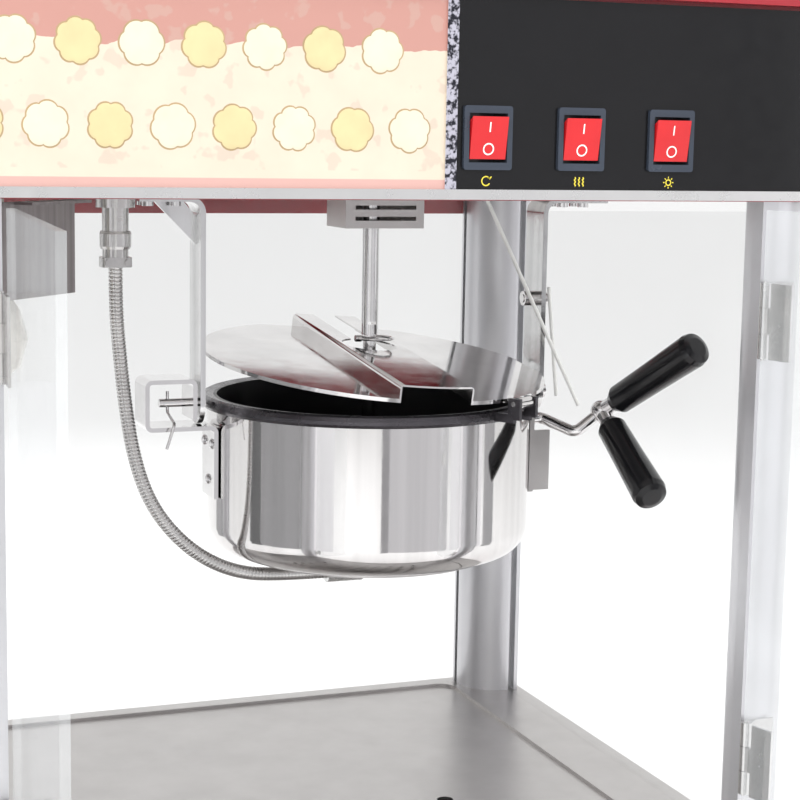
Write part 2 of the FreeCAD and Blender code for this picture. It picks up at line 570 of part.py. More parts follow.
def make_kettle_brackets():
    t, w = 2.5, CLIP_HALF
    x_wall = KX - SHELL_R - t / 2
    left, right, low, high = -85.75, -57.75, PIVOT_Z - 13.75, PIVOT_Z + 13.75
    path = [(x_wall, 330), (x_wall, low), (left, low), (left, high), (right, high), (right, low + 5)]
    clip = strip(path, 3, t, -w, w)
    hole = rod((-62, 0, PIVOT_Z), (-50, 0, PIVOT_Z), PIN_R)
    save("left_clip", clip.cut(hole))

    xr = RIGHT_HANGER_X
    x_wall = KX + SHELL_R
    plate = box(x_wall, x_wall + 3, -23, 15, 326, 376)
    block = box(x_wall + 1, xr - 1.5, -11, 11, 368, 380)
    ear = box(xr - 4.5, xr - 1.5, -11, 11, 368, PIVOT_Z + 9)
    wing = box(x_wall, x_wall + 13.5, -23, -20.5, 327, 364)
    bracket = plate.fuse([block, ear, wing]).cut(rod((xr - 9, 0, PIVOT_Z), (xr, 0, PIVOT_Z), PIN_R))
    bracket = bracket.cut(Part.makeCylinder(RIM_R + 0.4, 10, V(KX, 0, RIM_TOP - 7.6)))
    bracket = bracket.cut(Part.makeCylinder(SHELL_R, 60, V(KX, 0, 322)))
    save("right_bracket", bracket.removeSplitter())

    pin_l = rod((-76, 0, PIVOT_Z), (LEFT_HANGER_X + 0.5, 0, PIVOT_Z), PIN_R)
    head_l = rod((LEFT_HANGER_X + 0.4, 0, PIVOT_Z), (LEFT_HANGER_X + 2.4, 0, PIVOT_Z), 4.5)
    wire_hole = rod((-71, 0, PIVOT_Z - 9), (-71, 0, PIVOT_Z + 9), 0.9)
    pin_r = rod((xr - 4.5, 0, PIVOT_Z), (xr + 7, 0, PIVOT_Z), PIN_R)
    head_r = rod((xr + HANGER_T + 0.4, 0, PIVOT_Z), (xr + HANGER_T + 5.4, 0, PIVOT_Z), 5)
    left_pin = pin_l.fuse(head_l).cut(wire_hole).removeSplitter()
    save("pivot_pins", left_pin, pin_r.fuse(head_r).removeSplitter())

    points = [(-71, 0, PIVOT_Z + 7), (-71, 0, PIVOT_Z - 5.5), (-71, -17, PIVOT_Z - 10),
              (-76, -18.5, PIVOT_Z - 24)]
    save("left_cotter", round_bar(points, 3, 0.9))

    head = turned([(0, 0), (3.2, 0), (2.6, 1.2), (1.2, 1.7), (0, 1.8)])
    rivets = []
    for x, y, z, angle in ((KX - SHELL_R - t, -8, 362, -90), (KX - SHELL_R - t, 8, 362, -90),
                           (KX - SHELL_R - t, 0, 340, -90), (KX + SHELL_R + 3, -8, 338, 90),
                           (KX + SHELL_R + 3, 8, 338, 90)):
        rivet = turn(head, V(0, 0, 0), Y, angle)
        rivet.translate(V(x, y, z))
        rivets.append(rivet)
    save("bracket_rivets", *rivets)


def make_handle():
    start = (KX + SHELL_R + 3, -17.5, 371)
    points = [start, (KX + SHELL_R + 10, -17.5, 371), CRANK_BEND, CRANK_END]
    save("crank_rod", round_bar(points, 6, CRANK_R))
    for name, tip in (("upper_grip", UPPER_TIP), ("lower_grip", LOWER_TIP)):
        along = (tip - HUB).normalize()
        root = HUB + along * 13
        length = (tip - root).Length
        profile = [(2 + FIT, 0), (6.2, 0), (8.9, 5), (9.5, length * 0.5), (10.4, length - 5),
                   (9.4, length - 1.5), (6, length), (0, length), (0, length - 4), (2 + FIT, length - 4)]
        grip = turned(profile)
        grip.Placement = FreeCAD.Placement(root, FreeCAD.Rotation(Z, along)).multiply(grip.Placement)
        save(name, grip)
    hub = Part.makeSphere(7.0, HUB)
    for tip in (UPPER_TIP, LOWER_TIP):
        along = (tip - HUB).normalize()
        hub = hub.fuse(Part.makeCylinder(2.0, (tip - HUB).Length - 5.0, HUB, along))
        hub = hub.fuse(Part.makeCylinder(5.0, 12.6, HUB, along))
    hub = hub.cut(rod(CRANK_BEND, CRANK_END, CRANK_R))
    save("handle_hub", hub.removeSplitter())


# ---------------------------------------------------------------- hose
def make_hose():
    x, y = CONNECTOR
    flange = turned([(0, 499), (11, 499), (11, CEILING_Z), (5.5, CEILING_Z), (5.5, CEILING_Z + 8),
                     (0, CEILING_Z + 8)], x, y)
    neck = turned([(0, 486), (7.4, 486), (7.4, 499), (0, 499)], x, y)
    nut = turned([(0, 476), (8.2, 476), (8.8, 477.5), (8.8, 484.5), (8.2, 486), (0, 486)], x, y)
    save("hose_connector", flange.fuse([neck, nut]).removeSplitter())
    collar = turned([(0, 471.5), (7.2, 471.5), (7.2, 476), (0, 476)], x, y)
    saddle = rounded_box(x - 8.5, x + 8.5, y - 6.5, y + 6.5, 466, 471.5, 3)
    screws = [rod((x + dx, y - 6.5, 468.7), (x + dx, y - 8.3, 468.7), 1.9) for dx in (-5.6, 5.6)]
    save("hose_clamp", collar.fuse([saddle] + screws).removeSplitter())
    points = [V(*p) for p in HOSE_ROUTE]
    radii = cord_radii(points)
    circle = Part.Wire([Part.Circle(points[0], points[1] - points[0], HOSE_R).toShape()])
    path = bent_path(points, radii)
    hose = path.makePipeShell([circle], True, False)
    print("hose radii", [round(r) for r in radii], "length", round(path.Length, 1),
          "volume ratio", round(hose.Volume / (math.pi * HOSE_R ** 2 * path.Length), 4))
    save("hose", hose)


# ---------------------------------------------------------------- doors
def door_leaf(z):
    """The hinge leaf that moves with a door, with its middle knuckle, for a hinge at height z."""
    ax, ay = DOOR_AXIS_X, DOOR_AXIS_Y
    plate = box(ax - 20, ax - 6, -202.5, -201.0, z - 20, z + 20)
    tongue = box(ax - 7, ax - 1, -202.5, -201.0, z - KNUCKLE_HALF, z + KNUCKLE_HALF)
    knuckle = rod((ax, ay, z - KNUCKLE_HALF), (ax, ay, z + KNUCKLE_HALF), KNUCKLE_R)
    bore = rod((ax, ay, z - 25), (ax, ay, z + 25), HINGE_PIN_R + FIT)
    return plate.fuse([tongue, knuckle]).cut(bore).removeSplitter()


def fixed_leaf(z):
    """The hinge leaf on the post, with the two outer knuckles, and its pin."""
    ax, ay = DOOR_AXIS_X, DOOR_AXIS_Y
    leaf = box(ax + 2.8, ax + 18, -201.5, -200.0, z - 20, z + 20)
    for z0, z1 in ((z - 20, z - KNUCKLE_HALF - 0.3), (z + KNUCKLE_HALF + 0.3, z + 20)):
        leaf = leaf.fuse(box(ax + 1, ax + 6, -203.5, -200.0, z0, z1))
        leaf = leaf.fuse(rod((ax, ay, z0), (ax, ay, z1), KNUCKLE_R))
    leaf = leaf.cut(rod((ax, ay, z - 20), (ax, ay, z + 20), HINGE_PIN_R))
    return [leaf.removeSplitter(), rod((ax, ay, z - 21), (ax, ay, z + 21), HINGE_PIN_R)]


def door_grip():
    bar = box(12, 20, -222, -216, 300, 400)
    legs = [box(12, 20, -222, -201, 300, 308), box(12, 20, -222, -201, 392, 400)]
    grip = bar.fuse(legs)
    return grip.makeFillet(2.0, [e for e in grip.Edges if e.BoundBox.ZLength > 80]).removeSplitter()


def make_doors():
    fixed = fixed_leaf(HINGE_Z[0]) + fixed_leaf(HINGE_Z[1])
    save("door_hinge_fixed", *[half for shape in fixed for half in both_sides(shape)])
    pane = box(1.0, 194.5, -201.0, -197.0, DECK_Z + 4, HEADER_Z - 4)
    for name, opened in (("right", RIGHT_DOOR_OPEN), ("left", LEFT_DOOR_OPEN)):
        shapes = [pane, door_leaf(HINGE_Z[0]), door_leaf(HINGE_Z[1])]
        if name == "right":
            shapes.append(door_grip())
        shapes = [turn(s, V(DOOR_AXIS_X, DOOR_AXIS_Y, 0), Z, opened) for s in shapes]
        if name == "left":
            shapes = [s.mirror(V(0, 0, 0), X) for s in shapes]
        save(name + "_door", shapes[0])
        save(name + "_door_fittings", *shapes[1:])


def main():
    os.makedirs("parts", exist_ok=True)
    for step in (make_base, make_drawer, make_posts, make_glass, make_header, make_switches, make_roof,
                 make_ceiling, make_lamp, make_hangers, make_drive, make_kettle, make_lid,
                 make_kettle_brackets, make_handle, make_hose, make_doors):
        step()


main()
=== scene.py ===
"""The popcorn maker's look: finishes for the CAD frame, the armoured hose, sign art and switch marks."""
import bpy
import json
import math
from mathutils import Matrix, Vector


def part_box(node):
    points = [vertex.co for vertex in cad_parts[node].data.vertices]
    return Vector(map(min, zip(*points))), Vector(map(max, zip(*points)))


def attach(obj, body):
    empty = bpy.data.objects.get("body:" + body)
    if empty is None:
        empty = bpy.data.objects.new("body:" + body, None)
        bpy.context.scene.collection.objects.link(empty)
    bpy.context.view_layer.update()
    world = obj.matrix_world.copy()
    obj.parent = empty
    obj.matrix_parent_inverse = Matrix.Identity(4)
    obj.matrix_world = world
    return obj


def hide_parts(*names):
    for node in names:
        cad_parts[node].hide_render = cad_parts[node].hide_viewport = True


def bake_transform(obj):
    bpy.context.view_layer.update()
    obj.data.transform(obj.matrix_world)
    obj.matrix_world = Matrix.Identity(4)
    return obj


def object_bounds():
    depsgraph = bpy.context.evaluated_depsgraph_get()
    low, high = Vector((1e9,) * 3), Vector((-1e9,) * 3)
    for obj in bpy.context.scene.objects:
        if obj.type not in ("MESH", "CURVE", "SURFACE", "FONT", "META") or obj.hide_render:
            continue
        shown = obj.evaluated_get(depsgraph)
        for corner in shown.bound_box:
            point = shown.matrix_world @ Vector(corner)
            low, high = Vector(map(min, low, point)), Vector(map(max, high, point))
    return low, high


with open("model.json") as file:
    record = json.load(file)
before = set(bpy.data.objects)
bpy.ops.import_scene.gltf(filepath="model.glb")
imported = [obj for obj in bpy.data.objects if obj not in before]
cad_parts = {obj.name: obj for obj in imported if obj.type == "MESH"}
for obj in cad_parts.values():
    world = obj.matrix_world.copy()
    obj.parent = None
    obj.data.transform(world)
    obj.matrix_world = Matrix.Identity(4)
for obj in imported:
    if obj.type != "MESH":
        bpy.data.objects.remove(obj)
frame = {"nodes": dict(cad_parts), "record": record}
cad_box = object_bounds()
NODES = frame["nodes"]

# ---------------------------------------------------------------- camera
LENS_MM = 83.77065
SENSOR_MM = 36.0
CAMERA_PLACE = (-0.3336, -1.0410, 0.5397)
YAW, PITCH, ROLL = 0.3727, 0.1398, -0.0173  # radians: to the right of +Y, down, and about the line of sight


def make_camera():
    forward = Vector((math.sin(YAW) * math.cos(PITCH), math.cos(YAW) * math.cos(PITCH), -math.sin(PITCH)))
    level_right = Vector((math.cos(YAW), -math.sin(YAW), 0))
    level_down = forward.cross(level_right)
    right = math.cos(ROLL) * level_right + math.sin(ROLL) * level_down
    down = -math.sin(ROLL) * level_right + math.cos(ROLL) * level_down
    data = bpy.data.cameras.new("camera")
    data.sensor_width = SENSOR_MM
    data.lens = LENS_MM
    camera = bpy.data.objects.new("camera", data)
    turn = Matrix((right, -down, -forward)).transposed().to_4x4()
    camera.matrix_world = Matrix.Translation(CAMERA_PLACE) @ turn
    bpy.context.scene.collection.objects.link(camera)
    bpy.context.scene.camera = camera


# ---------------------------------------------------------------- finishes
def shade(color, factor):
    return tuple(min(1.0, c * factor) for c in color[:3]) + (1.0,)


class Finish:
    """A node material: colour and roughness that vary over the surface, and a fine relief."""

    def __init__(self, name, color, metallic=0.0, rough=0.4, vary=0.08, patch=30.0, rough_vary=0.08,
                 grain=400.0, stretch=(1, 1, 1), relief=0.15, depth=0.0002, coat=0.0, specular=0.5):
        self.material = bpy.data.materials.new(name)
        self.material.use_nodes = True
        self.nodes = self.material.node_tree.nodes
        self.links = self.material.node_tree.links
        self.shader = self.nodes["Principled BSDF"]
        self.shader.inputs["Metallic"].default_value = metallic
        self.shader.inputs["Coat Weight"].default_value = coat
        self.shader.inputs["Coat Roughness"].default_value = 0.08
        self.shader.inputs["Specular IOR Level"].default_value = specular
        self.place = self.add("ShaderNodeTexCoord").outputs["Object"]
        cloud = self.noise(patch, 5)
        self.color = self.ramp(cloud, [(0.3, shade(color, 1 - vary)), (0.7, shade(color, 1 + vary))])
        self.link(self.color, "Base Color")
        smudge = self.noise(patch * 3, 6)
        self.rough = self.ramp(smudge, [(0.3, grey(max(0.02, rough - rough_vary))),
                                        (0.75, grey(min(1.0, rough + rough_vary)))])
        self.link(self.rough, "Roughness")
        self.bump(self.noise(grain, 3, stretch), relief, depth)

    def add(self, kind, **settings):
        node = self.nodes.new(kind)
        for key, value in settings.items():
            setattr(node, key, value)
        return node

    def link(self, output, name):
        self.links.new(output, self.shader.inputs[name])

    def scaled(self, stretch):
        mapping = self.add("ShaderNodeMapping")
        mapping.inputs["Scale"].default_value = stretch
        self.links.new(self.place, mapping.inputs["Vector"])
        return mapping.outputs["Vector"]

    def noise(self, scale, detail, stretch=(1, 1, 1)):
        node = self.add("ShaderNodeTexNoise")
        node.inputs["Scale"].default_value = scale
        node.inputs["Detail"].default_value = detail
        self.links.new(self.scaled(stretch), node.inputs["Vector"])
        return node.outputs["Fac"]

    def ramp(self, value, stops):
        node = self.add("ShaderNodeValToRGB")
        ramp = node.color_ramp
        while len(ramp.elements) < len(stops):
            ramp.elements.new(0.5)
        for element, (position, color) in zip(ramp.elements, stops):
            element.position = position
            element.color = color
        self.links.new(value, node.inputs["Fac"])
        return node.outputs["Color"]

    def bump(self, height, strength, distance):
        node = self.add("ShaderNodeBump")
        node.inputs["Strength"].default_value = strength
        node.inputs["Distance"].default_value = distance
        self.links.new(height, node.inputs["Height"])
        old = self.shader.inputs["Normal"].links
        if old:
            self.links.new(old[0].from_socket, node.inputs["Normal"])
        self.link(node.outputs["Normal"], "Normal")

    def math(self, operation, a, b):
        node = self.add("ShaderNodeMath", operation=operation)
        for socket, value in zip(node.inputs, (a, b)):
            if isinstance(value, (int, float)):
                socket.default_value = value
            else:
                self.links.new(value, socket)
        return node.outputs[0]

    def axes(self):
        node = self.add("ShaderNodeSeparateXYZ")
        self.links.new(self.place, node.inputs[0])
        return node.outputs

    def mix(self, factor, a, b):
        node = self.add("ShaderNodeMix", data_type="RGBA")
        for socket, value in zip((node.inputs[0], node.inputs[6], node.inputs[7]), (factor, a, b)):
            if isinstance(value, tuple):
                socket.default_value = value
            else:
                self.links.new(value, socket)
        return node.outputs[2]


def grey(value):
    return (value, value, value, 1.0)


def clear(finish, alpha):
    """Makes a finish see-through, as thin glass or acrylic."""
    finish.shader.inputs["Alpha"].default_value = alpha
    finish.material.surface_render_method = "BLENDED"
    return finish


def streaked(finish, color, dark, light, scale, stretch):
    """Lays fine drawn lines over a metal's colour."""
    lines = finish.noise(scale, 4, stretch)
    tone = finish.ramp(lines, [(0.35, shade(color, dark)), (0.65, shade(color, light))])
    finish.link(tone, "Base Color")
    return finish


PINK_BELOW = 0.5200      # heights of the sign's colours
MOTTLED_ABOVE = 0.5240
ROSE_ABOVE = 0.5860
ROSE_WAVE = 0.010        # how far the rose edge wanders
STRIP_FROM_X = 0.015     # where the hammered strip starts


def sign_finish():
    """Mottled cream between a rose band above and a pink one below, with a dark hammered strip beside it."""
    cream, pink = (0.66, 0.58, 0.47, 1), (0.62, 0.38, 0.34, 1)
    finish = Finish("sign_print", cream, rough=0.42, vary=0.03, patch=60, relief=0.05, specular=0.35)
    x, y, z = finish.axes()
    wobble = finish.math("MULTIPLY", finish.noise(50, 3), ROSE_WAVE)
    band = finish.math("LESS_THAN", z, PINK_BELOW)
    print_color = finish.mix(band, finish.color, pink)
    high = finish.math("GREATER_THAN", finish.math("ADD", z, wobble), ROSE_ABOVE)
    print_color = finish.mix(high, print_color, (0.50, 0.26, 0.22, 1))
    flecks = finish.ramp(finish.noise(95, 2), [(0.60, grey(0)), (0.64, grey(1))])
    mottled = finish.math("GREATER_THAN", z, MOTTLED_ABOVE)
    faint = finish.math("MULTIPLY", finish.math("MULTIPLY", flecks, 0.35), mottled)
    print_color = finish.mix(faint, print_color, (0.50, 0.38, 0.32, 1))
    operator_side = finish.math("LESS_THAN", y, 0.0)
    strip = finish.math("MULTIPLY", finish.math("GREATER_THAN", x, STRIP_FROM_X), operator_side)
    cells = finish.noise(420, 2)
    hammer = finish.ramp(cells, [(0.42, (0.012, 0.012, 0.02, 1)), (0.56, (0.42, 0.41, 0.48, 1))])
    finish.link(finish.mix(strip, print_color, hammer), "Base Color")
    finish.bump(finish.math("MULTIPLY", cells, strip), 0.8, 0.0008)
    return finish.material


def make_finishes():
    red, steel, chrome = (0.33, 0.012, 0.022), (0.56, 0.54, 0.53), (0.74, 0.73, 0.73)
    mirror, dark = (0.70, 0.685, 0.68), (0.105, 0.10, 0.11)
    brushed_x = dict(stretch=(0.03, 1, 1), grain=1500, relief=0.25)
    brushed_z = dict(stretch=(1, 1, 0.03), grain=1500, relief=0.12)
    make = {
        "red_paint": Finish("red_powder_coat", red, rough=0.34, grain=1100, relief=0.2, coat=0.25),
        "red_steel": Finish("red_base_coat", red, rough=0.38, grain=1100, relief=0.22, coat=0.2),
        "anodised": Finish("anodised_trim", (0.80, 0.80, 0.79), 0.9, 0.30, vary=0.03, **brushed_x),
        "post": Finish("post_extrusion", (0.68, 0.68, 0.70), 0.85, 0.36, vary=0.02, rough_vary=0.03,
                       **brushed_z),
        "steel": Finish("brushed_sheet", steel, 1.0, 0.34, vary=0.04, rough_vary=0.04, **brushed_x),
        "chrome": Finish("polished_chrome", chrome, 1.0, 0.14, rough_vary=0.07, relief=0.06),
        "mirror_steel": Finish("mirror_stainless", mirror, 1.0, 0.09, rough_vary=0.04, relief=0.03),
        "dark_steel": Finish("dark_satin_steel", dark, 0.85, 0.30, vary=0.2, relief=0.1),
        "black_gloss": Finish("black_gloss", (0.006, 0.006, 0.007), rough=0.20, rough_vary=0.06, coat=0.15,
                              specular=0.35),
        "bezel_plastic": Finish("bezel_plastic", (0.035, 0.045, 0.065), rough=0.22, relief=0.1, coat=0.3),
        "rocker_red": Finish("rocker_red", (0.62, 0.012, 0.016), rough=0.18, rough_vary=0.05, coat=0.6),
        "glass": clear(Finish("pane_glass", (0.88, 0.93, 0.92), rough=0.05, rough_vary=0.03, relief=0.02),
                       0.05),
        "acrylic": clear(Finish("door_acrylic", (0.80, 0.83, 0.84), rough=0.10, relief=0.03), 0.20),
        "bulb_glass": Finish("frosted_bulb", (0.92, 0.90, 0.84), rough=0.30, relief=0.05, coat=0.4),
        "ceramic": Finish("lamp_ceramic", (0.80, 0.78, 0.72), rough=0.55, relief=0.2),
        "nonstick": Finish("black_nonstick", (0.010, 0.009, 0.010), rough=0.36, grain=1800, relief=0.35),
        "rubber": Finish("foot_rubber", (0.022, 0.022, 0.022), rough=0.75, relief=0.4),
        "heater": Finish("heater_sheath", (0.12, 0.11, 0.10), 0.6, 0.6, vary=0.25, relief=0.4),
    }
    finishes = {slot: finish.material for slot, finish in make.items()}
    finishes["sign"] = sign_finish()
    return finishes


def make_specials():
    """Finishes of nodes that differ from others in their slot."""
    polished, dull, drawn = (0.75, 0.735, 0.73), (0.34, 0.31, 0.31), (0.76, 0.76, 0.76)
    kettle = Finish("kettle_polished_body", polished, 1.0, 0.075, rough_vary=0.03, relief=0.015)
    streaked(kettle, polished, 0.94, 1.03, 160, (1, 1, 0.02))
    kettle.bump(kettle.noise(22, 2, (1, 1, 0.2)), 0.05, 0.0005)
    shield = Finish("shield_brushed_steel", dull, 1.0, 0.42, stretch=(1, 1, 0.03), grain=1500)
    streaked(shield, dull, 0.85, 1.12, 260, (1, 1, 0.03))
    stay = Finish("white_stay_coat", (0.82, 0.82, 0.80), rough=0.40, relief=0.1)
    hinge = Finish("hinge_bright_steel", (0.66, 0.65, 0.64), 1.0, 0.22, relief=0.1)
    rim = Finish("rim_satin_black", (0.075, 0.070, 0.078), 0.75, 0.27, vary=0.18, relief=0.08)
    knurled = Finish("knurled_nickel", (0.62, 0.61, 0.60), 1.0, 0.22, stretch=(1, 1, 0.02), grain=900,
                     relief=0.7, depth=0.0003)
    strap = Finish("drawn_strap", drawn, 1.0, 0.20)
    streaked(strap, drawn, 0.80, 1.06, 90, (1, 1, 0.02))
    clamp = Finish("clamp_steel", (0.55, 0.54, 0.53), 1.0, 0.26, vary=0.2, relief=0.2)
    return {"hose_connector": knurled.material, "left_hanger": strap.material, "right_hanger": strap.material,
            "hose_clamp": clamp.material, "kettle_shell": kettle.material,
            "lamp_shield": shield.material, "stay_rods": stay.material,
            "door_hinge_fixed": hinge.material, "left_door_fittings": hinge.material,
            "right_door_fittings": hinge.material, "kettle_rim": rim.material}


def paint_frame(finishes, specials):
    slots = {part["node"]: part["material_slot"] for part in frame["record"]["subparts"]}
    for name, node in NODES.items():
        node.data.materials.clear()
        node.data.materials.append(specials.get(name, finishes[slots[name]]))


# ---------------------------------------------------------------- pieces
def middle_of(node):
    """The middle of a node's box."""
    low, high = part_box(node)
    return Vector([(a + b) / 2 for a, b in zip(low, high)])


def piece(name, vertices, faces, material, body=None, smooth=True):
    mesh = bpy.data.meshes.new(name)
    mesh.from_pydata([tuple(v) for v in vertices], [], faces)
    mesh.materials.append(material)
    mesh.polygons.foreach_set("use_smooth", [smooth] * len(mesh.polygons))
    mesh.update()
    obj = bpy.data.objects.new(name, mesh)
    bpy.context.scene.collection.objects.link(obj)
    if body:
        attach(obj, body)
    return obj


HOSE_ROUTE = [
    (-0.1050, -0.0180, 0.4660), (-0.1050, -0.0180, 0.4420), (-0.1028, -0.0183, 0.4160),
    (-0.1002, -0.0190, 0.3890), (-0.0960, -0.0200, 0.3610), (-0.0885, -0.0215, 0.3360),
    (-0.0760, -0.0230, 0.3160), (-0.0570, -0.0235, 0.2985), (-0.0335, -0.0225, 0.2875),
    (-0.0070, -0.0205, 0.2845), (0.0200, -0.0205, 0.2845),
]
HOSE_RADIUS = 0.0040
HOSE_PITCH = 0.0021      # from one turn of the steel strip to the next
GROOVE = 0.13            # the groove's depth as a share of the radius, and its width of the pitch


def route_points(route):
    """Points along the smooth line that has the route as its control points."""
    curve = bpy.data.curves.new("route", "CURVE")
    curve.dimensions = "3D"
    curve.resolution_u = 24
    spline = curve.splines.new("NURBS")
    spline.points.add(len(route) - 1)
    for point, place in zip(spline.points, route):
        point.co = (*place, 1)
    spline.order_u = 3
    spline.use_endpoint_u = True
    holder = bpy.data.objects.new("route", curve)
    bpy.context.scene.collection.objects.link(holder)
    mesh = bpy.data.meshes.new_from_object(holder)
    points = [v.co.copy() for v in mesh.vertices]
    bpy.data.objects.remove(holder)
    bpy.data.meshes.remove(mesh)
    return points


def walk(points, step):
    """Places and directions at equal steps along a line of points."""
    lengths = [0.0]
    for a, b in zip(points, points[1:]):
        lengths.append(lengths[-1] + (b - a).length)
    count = max(2, round(lengths[-1] / step))
    segment = 0
    for i in range(count + 1):
        target = lengths[-1] * i / count
        while segment < len(points) - 2 and lengths[segment + 1] < target:
            segment += 1
        span = lengths[segment + 1] - lengths[segment]
        along = points[segment + 1] - points[segment]
        yield points[segment] + along * ((target - lengths[segment]) / span), along.normalized()


def make_hose(material):
    """Armoured hose: a helical steel strip, raised over most of each pitch and grooved between."""
    points = route_points(HOSE_ROUTE)
    around, rings = 24, 7
    vertices, faces = [], []
    side = Vector((0, 1, 0))
    for i, (place, along) in enumerate(walk(points, HOSE_PITCH / rings)):
        side = (side - along * side.dot(along)).normalized()
        other = along.cross(side)
        for j in range(around):
            phase = ((i / rings) + j / around) % 1.0
            groove = math.exp(-(min(phase, 1 - phase) / GROOVE) ** 2)
            radius = HOSE_RADIUS * (1 - GROOVE * groove)
            angle = 2 * math.pi * j / around
            vertices.append(place + (side * math.cos(angle) + other * math.sin(angle)) * radius)
    count = len(vertices) // around
    for i in range(count - 1):
        for j in range(around):
            k = (j + 1) % around
            faces.append((i * around + j, i * around + k, (i + 1) * around + k, (i + 1) * around + j))
    faces.append(tuple(range(around))[::-1])
    faces.append(tuple(range((count - 1) * around, count * around)))
    hose = piece("armoured_hose", vertices, faces, material)
    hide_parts("hose")
    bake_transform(hose)
    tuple(HOSE_ROUTE[0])


def dome(name, outline, centre, rise, material, body, edge=0.0):
    """A low pillow on the XZ plane from a closed outline of (x, z) points round centre.

    It stands out towards -Y, or towards +Y where rise is negative.
    """
    cx, y, cz = centre
    rows = [(1.0, edge), (0.93, 0.55), (0.80, 0.80), (0.55, 0.95), (0.25, 1.0)]
    vertices, faces = [], []
    for scale, height in rows:
        for px, pz in outline:
            vertices.append((cx + px * scale, y - rise * height, cz + pz * scale))
    n = len(outline)
    for row in range(len(rows) - 1):
        for i in range(n):
            k = (i + 1) % n
            faces.append((row * n + i, row * n + k, (row + 1) * n + k, (row + 1) * n + i))
    vertices.append((cx, y - rise, cz))
    top = (len(rows) - 1) * n
    faces += [(top + i, top + (i + 1) % n, len(vertices) - 1) for i in range(n)]
    if rise < 0:
        faces = [face[::-1] for face in faces]
    return piece(name, vertices, faces, material, body)


def cloud(radius_x, radius_z, lobes, turn, depth=0.13):
    """A popped kernel's outline: an oval with rounded lobes."""
    points = []
    for i in range(96):
        a = 2 * math.pi * i / 96
        r = 1 - depth + depth * abs(math.sin(lobes * (a + turn) / 2)) ** 0.6
        points.append((radius_x * r * math.cos(a), radius_z * r * math.sin(a)))
    return points


def stroke(points, width):
    """The left and right edges of a line drawn with a given width."""
    left, right = [], []
    for i, (x, z) in enumerate(points):
        x0, z0 = points[max(0, i - 1)]
        x1, z1 = points[min(len(points) - 1, i + 1)]
        length = math.hypot(x1 - x0, z1 - z0)
        nx, nz = -(z1 - z0) / length * width / 2, (x1 - x0) / length * width / 2
        left.append((x + nx, z + nz))
        right.append((x - nx, z - nz))
    return left, right


def marks(name, strokes, centre, tilt, material, body):
    """Printed lines on a face of the operator's side."""
    cx, y, cz = centre
    vertices, faces = [], []
    for points, width in strokes:
        left, right = stroke(points, width)
        start = len(vertices)
        vertices += [(cx + px, y - pz * tilt, cz + pz) for px, pz in left + right]
        n = len(left)
        faces += [(start + i, start + n + i, start + n + i + 1, start + i + 1) for i in range(n - 1)]
    return piece(name, vertices, faces, material, body, smooth=False)


def arc(radius, start, end, steps=24):
    angles = [math.radians(start + (end - start) * i / steps) for i in range(steps + 1)]
    return [(radius * math.cos(a), radius * math.sin(a)) for a in angles]


def moved(points, dx, dz):
    return [(x + dx, z + dz) for x, z in points]


SIGN_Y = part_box("control_panel")[0].y
CORN_TONES = ((0.66, 0.55, 0.30), (0.70, 0.64, 0.50))
CORN_COLUMNS = 8
CORN_ROWS = 2
CORN_R = 0.0102
CORN_EDGE = 0.0008       # width of the darker edge round a shape
CORN_RISE = 0.0004
EDGE_RISE = 0.0003
SIGN_MARGIN = 0.020      # from the object's sides to the first shape's field
DIVIDER_MARGIN = 0.010


def make_sign_art(name, face, x_low, x_high, outward):
    """Evenly spaced popped-corn shapes in two butter tones; outward is -1 on the operator's side."""
    low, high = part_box("sign_panels")[0].z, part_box("sign_panels")[1].z
    edge = Finish(name + "_edge", (0.42, 0.30, 0.16), rough=0.45).material
    tones = [Finish("%s_tone_%d" % (name, k), tone, rough=0.42, vary=0.05, patch=80).material
             for k, tone in enumerate(CORN_TONES)]
    step = (x_high - x_low) / CORN_COLUMNS
    for row in range(CORN_ROWS):
        z = low + (high - low) * (row + 0.75) / (CORN_ROWS + 0.5)
        for column in range(CORN_COLUMNS - row):
            x = x_low + step * (column + 0.5 + row * 0.5)
            shape = dict(lobes=6 + (column + row) % 3, turn=0.8 * column + row)
            label = "%s_%d_%d" % (name, row, column)
            rim = CORN_R + CORN_EDGE
            dome(label + "_edge", cloud(rim, rim, **shape), (x, face, z), -outward * EDGE_RISE, edge,
                 "cabinet")
            dome(label, cloud(CORN_R, CORN_R, **shape), (x, face + outward * EDGE_RISE, z),
                 -outward * CORN_RISE, tones[(column + row) % 2], "cabinet")


SWITCHES = ("turn", "heat", "light")
LABEL_Z = 0.5196
INK = 0.0002             # how far print stands out of a panel
ROCKER_LEAN = 0.1737     # the rockers' faces lean out by this much per metre up
ROCKER_FACE = 0.0034     # how far their middles stand out of the panel


def turn_symbol():
    """An open circle that ends in an arrowhead."""
    head = [(0.0008, 0.0019), (0.0020, 0.0011), (0.0029, 0.0022)]
    return [(arc(0.0022, 30, 330), 0.0006), (head, 0.0006)]


def heat_symbol():
    """Three upright waves."""
    wave = [(0.0004 * math.sin(t * 1.6), -0.0022 + 0.00044 * t) for t in range(11)]
    return [(moved(wave, dx, 0), 0.0006) for dx in (-0.0022, 0.0, 0.0022)]


def light_symbol():
    """A small circle with eight rays."""
    strokes = [(arc(0.0014, 0, 360), 0.0006)]
    for k in range(8):
        a = math.pi * k / 4
        strokes.append(([(r * math.cos(a), r * math.sin(a)) for r in (0.0021, 0.0030)], 0.0005))
    return strokes


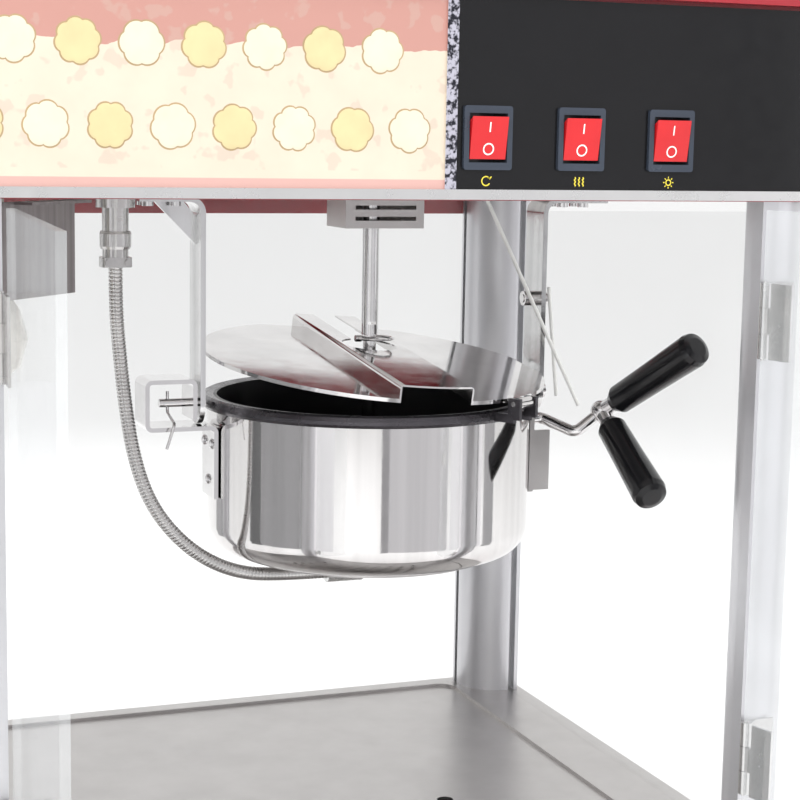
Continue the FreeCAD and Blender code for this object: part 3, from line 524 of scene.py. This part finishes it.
def make_switch_marks():
    white = Finish("switch_white", (0.90, 0.88, 0.86), rough=0.35).material
    yellow = Finish("label_yellow", (0.80, 0.66, 0.05), rough=0.5).material
    on = [([(0, 0.0028), (0, 0.0076)], 0.0007)]
    off = [(moved(arc(0.0026, 0, 360, 36), 0, -0.0054), 0.0007)]
    for name in SWITCHES:
        body = "rocker_" + name
        middle = middle_of(body)
        centre = (middle.x, SIGN_Y - ROCKER_FACE, middle.z)
        marks("mark_on_" + name, on, centre, ROCKER_LEAN, white, body)
        marks("mark_off_" + name, off, centre, ROCKER_LEAN, white, body)
    for name, strokes in zip(SWITCHES, (turn_symbol(), heat_symbol(), light_symbol())):
        centre = (middle_of("rocker_" + name).x, SIGN_Y - INK, LABEL_Z)
        marks("label_" + name, strokes, centre, 0.0, yellow, "cabinet")


# ---------------------------------------------------------------- studio
def area_light(name, place, target, size, power):
    data = bpy.data.lights.new(name, "AREA")
    data.size = size
    data.energy = power
    lamp = bpy.data.objects.new(name, data)
    lamp.location = place
    lamp.visible_glossy = False
    lamp.rotation_euler = (Vector(target) - Vector(place)).to_track_quat("-Z", "Y").to_euler()
    bpy.context.scene.collection.objects.link(lamp)


CARD_DISTANCE = 0.95
CARD_HEIGHT = 1.6
CARD_TINT = (0.98, 0.97, 1.0, 1)


def studio_card(name, azimuth, width, brightness):
    """An upright card that stands round the kettle and only shows in reflections."""
    kettle = middle_of("kettle_shell")
    a = math.radians(azimuth)
    middle = Vector((kettle.x + CARD_DISTANCE * math.sin(a), kettle.y - CARD_DISTANCE * math.cos(a), 0))
    across = Vector((math.cos(a), math.sin(a), 0)) * (CARD_DISTANCE * math.tan(math.radians(width / 2)))
    top = Vector((0, 0, CARD_HEIGHT))
    corners = [middle - across, middle + across, middle + across + top, middle - across + top]
    mesh = bpy.data.meshes.new(name)
    mesh.from_pydata(corners, [], [(0, 1, 2, 3)])
    material = bpy.data.materials.new(name)
    material.use_nodes = True
    shader = material.node_tree.nodes["Principled BSDF"]
    shader.inputs["Base Color"].default_value = (0, 0, 0, 1)
    shader.inputs["Specular IOR Level"].default_value = 0
    shader.inputs["Emission Color"].default_value = CARD_TINT
    shader.inputs["Emission Strength"].default_value = brightness
    mesh.materials.append(material)
    card = bpy.data.objects.new(name, mesh)
    card.visible_camera = False
    card.visible_diffuse = False
    card.visible_shadow = False
    card.visible_transmission = False
    bpy.context.scene.collection.objects.link(card)


CARDS = [
    # azimuth from -Y toward +X, width in degrees, brightness
    (-140, 19, 0.46), (-101, 10, 0.14), (-80.5, 31, 0.38), (-53, 22, 1.15), (-8.5, 5, 0.42),
    (12.5, 37, 0.74), (32.5, 4, 0.55), (50, 26, 1.12), (70, 10, 0.46),
]


FLOOR_HALF = 12
LAMP_TARGET = (0, 0, 0.4)


def make_studio():
    world = bpy.data.worlds.new("studio")
    bpy.context.scene.world = world
    world.use_nodes = True
    background = world.node_tree.nodes["Background"]
    background.inputs["Color"].default_value = (1, 1, 1, 1)
    background.inputs["Strength"].default_value = 1.0
    mesh = bpy.data.meshes.new("floor")
    r = FLOOR_HALF
    mesh.from_pydata([(-r, -r, 0), (r, -r, 0), (r, r, 0), (-r, r, 0)], [], [(0, 1, 2, 3)])
    paper = Finish("floor_paper", (0.86, 0.86, 0.86), rough=0.8, vary=0.01, relief=0.02)
    mesh.materials.append(paper.material)
    floor = bpy.data.objects.new("floor", mesh)
    bpy.context.scene.collection.objects.link(floor)
    area_light("key", (-1.1, -1.5, 1.5), LAMP_TARGET, 1.1, 26)
    area_light("fill", (1.5, -1.0, 1.1), LAMP_TARGET, 1.3, 12)
    area_light("back", (0.3, 1.6, 1.4), LAMP_TARGET, 1.2, 14)
    for i, (azimuth, width, brightness) in enumerate(CARDS):
        studio_card("reflection_card_%d" % i, azimuth, width, brightness)


# ---------------------------------------------------------------- all together
make_camera()
finishes = make_finishes()
paint_frame(finishes, make_specials())
make_hose(Finish("galvanised_hose", (0.62, 0.61, 0.60), 1.0, 0.24, vary=0.12, patch=60, relief=0.1).material)
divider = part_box("control_panel")[0].x
customer_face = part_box("sign_panels")[1].y
left, right = cad_box[0][0] + SIGN_MARGIN, cad_box[1][0] - SIGN_MARGIN
make_sign_art("operator_corn", SIGN_Y, left, divider - DIVIDER_MARGIN, -1)
make_sign_art("customer_corn", customer_face, left, right, 1)
make_switch_marks()
make_studio()
bpy.context.scene.view_settings.view_transform = "Standard"
